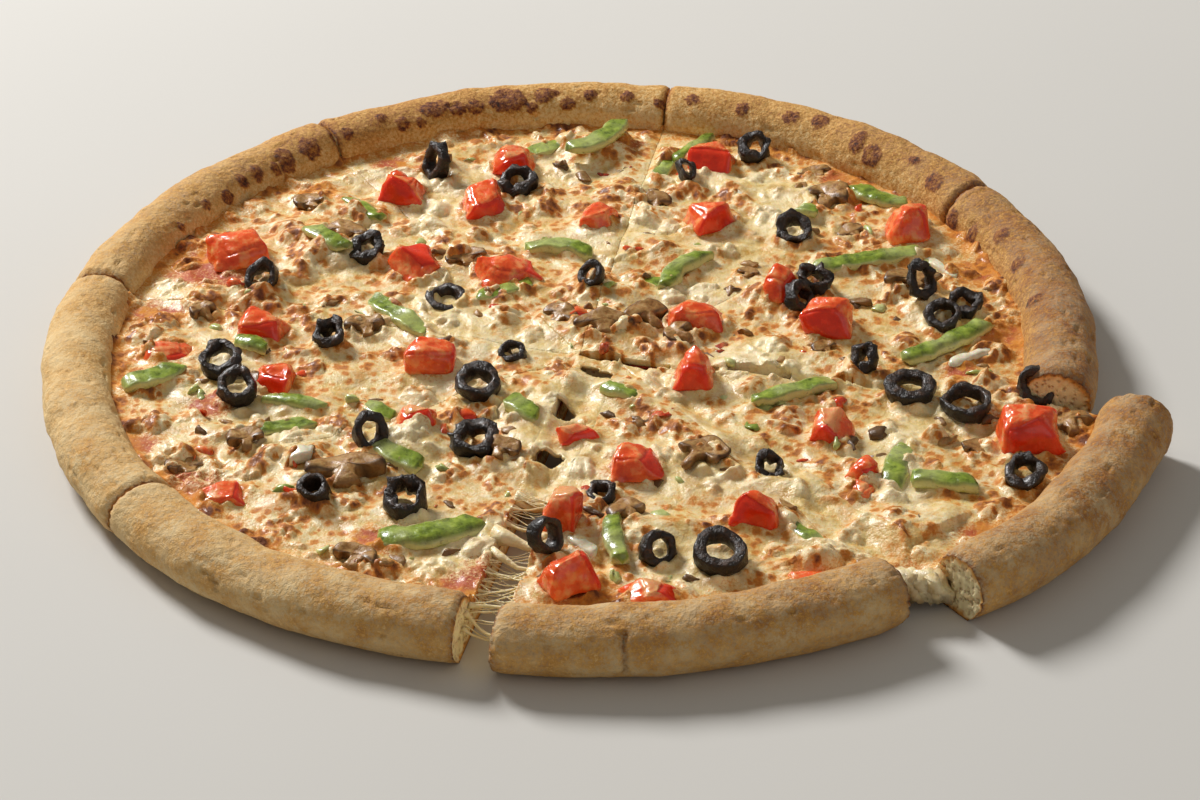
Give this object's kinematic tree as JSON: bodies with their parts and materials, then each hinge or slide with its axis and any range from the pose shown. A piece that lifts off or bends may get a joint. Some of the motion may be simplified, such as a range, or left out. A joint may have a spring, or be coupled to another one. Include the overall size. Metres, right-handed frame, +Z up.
{
  "type": "pan pizza",
  "caption": "Round pizza with a thick rolled rim, melted cheese, diced tomato, olive rings and pepper strips, cut into slices, with a pair pulled out on strings of cheese.",
  "frame": {"origin": "middle of the bounding box on the underside of the dough, at the height of the table", "axes": "+Z up, +X to the right and +Y away as seen from the front, where the pulled slices are"},
  "size_m": [0.3734, 0.3612, 0.027],
  "materials": {
    "crust": "baked, matte",
    "sauce": "wet",
    "cheese": "melted, oily",
    "tomato": "wet",
    "olive": "wet",
    "pepper": "glossy skin"
  },
  "bodies": {
    "root": {"crust_1": "crust", "crust_2": "crust", "crust_3": "crust", "crust_4": "crust", "crust_5": "crust", "crust_6": "crust", "crust_7": "crust", "crust_8": "crust", "sauce_1": "sauce", "sauce_2": "sauce", "sauce_3": "sauce", "sauce_4": "sauce", "sauce_5": "sauce", "sauce_6": "sauce", "sauce_7": "sauce", "sauce_8": "sauce", "cheese_1": "cheese", "cheese_2": "cheese", "cheese_3": "cheese", "cheese_4": "cheese", "cheese_5": "cheese", "cheese_6": "cheese", "cheese_7": "cheese", "cheese_8": "cheese", "stretched_cheese_1": "cheese", "stretched_cheese_2": "cheese", "stretched_cheese_3": "cheese", "tomato_1": "tomato", "tomato_2": "tomato", "tomato_3": "tomato", "tomato_4": "tomato", "tomato_5": "tomato", "tomato_6": "tomato", "tomato_7": "tomato", "tomato_8": "tomato", "tomato_9": "tomato", "tomato_10": "tomato", "tomato_11": "tomato", "tomato_12": "tomato", "tomato_13": "tomato", "tomato_14": "tomato", "tomato_15": "tomato", "tomato_16": "tomato", "tomato_17": "tomato", "tomato_18": "tomato", "tomato_19": "tomato", "tomato_20": "tomato", "olive_1": "olive", "olive_2": "olive", "olive_3": "olive", "olive_4": "olive", "olive_5": "olive", "olive_6": "olive", "olive_7": "olive", "pepper_1": "pepper", "pepper_2": "pepper", "pepper_3": "pepper", "pepper_4": "pepper", "pepper_5": "pepper", "pepper_6": "pepper"}
  },
  "joints": []
}
